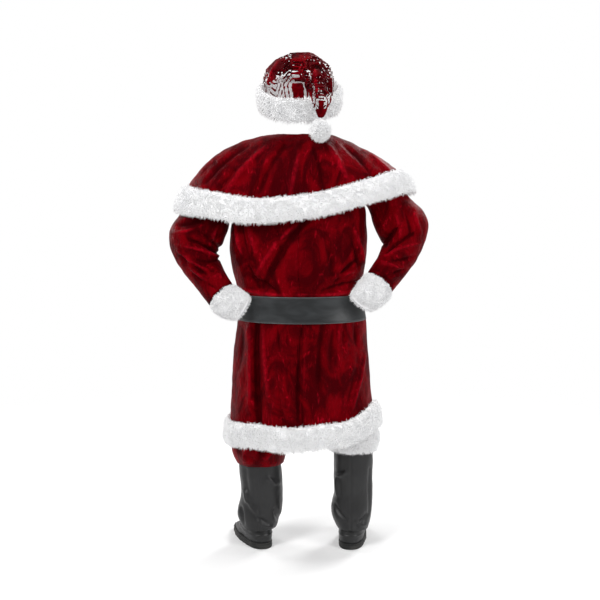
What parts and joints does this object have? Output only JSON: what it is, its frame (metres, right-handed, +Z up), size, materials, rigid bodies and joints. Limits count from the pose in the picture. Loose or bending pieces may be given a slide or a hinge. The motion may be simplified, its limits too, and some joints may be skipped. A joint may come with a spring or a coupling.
{
  "type": "santa suit",
  "caption": "Red velvet Santa suit in worn form, hands on hips: hat, fur-edged capelet and coat, belt, trousers and boots.",
  "frame": {"origin": "centre of the coat's neck opening, at shoulder height", "axes": "+Z up, the suit's front faces -Y, +X is the wearer's left"},
  "size_m": [0.9446, 0.4172, 1.805],
  "materials": {
    "red_velvet": "crushed stretch velvet, dark red with bright sheen on the folds",
    "white_fur": "short white plush fur",
    "belt_vinyl": "smooth black vinyl, satin",
    "boot_vinyl": "soft black vinyl, satin, creased",
    "sole_rubber": "moulded black rubber",
    "buckle_brass": "polished brass plate"
  },
  "bodies": {
    "root": {"hat_crown": "red_velvet", "hat_band": "white_fur", "hat_pompom": "white_fur", "cape": "red_velvet", "cape_trim": "white_fur", "coat_back_left": "red_velvet", "coat_back_right": "red_velvet", "coat_front_left": "red_velvet", "coat_front_right": "red_velvet", "sleeve_left": "red_velvet", "sleeve_right": "red_velvet", "cuff_left": "white_fur", "cuff_right": "white_fur", "coat_hem_trim": "white_fur", "coat_front_trim": "white_fur", "belt_strap": "belt_vinyl", "buckle_frame": "buckle_brass", "buckle_prong": "buckle_brass", "trouser_leg_left": "red_velvet", "trouser_leg_right": "red_velvet", "trouser_waistband": "red_velvet", "boot_shaft_left": "boot_vinyl", "boot_shaft_right": "boot_vinyl", "boot_cuff_left": "white_fur", "boot_cuff_right": "white_fur", "boot_foot_left": "boot_vinyl", "boot_foot_right": "boot_vinyl", "boot_sole_left": "sole_rubber", "boot_sole_right": "sole_rubber"}
  },
  "joints": []
}
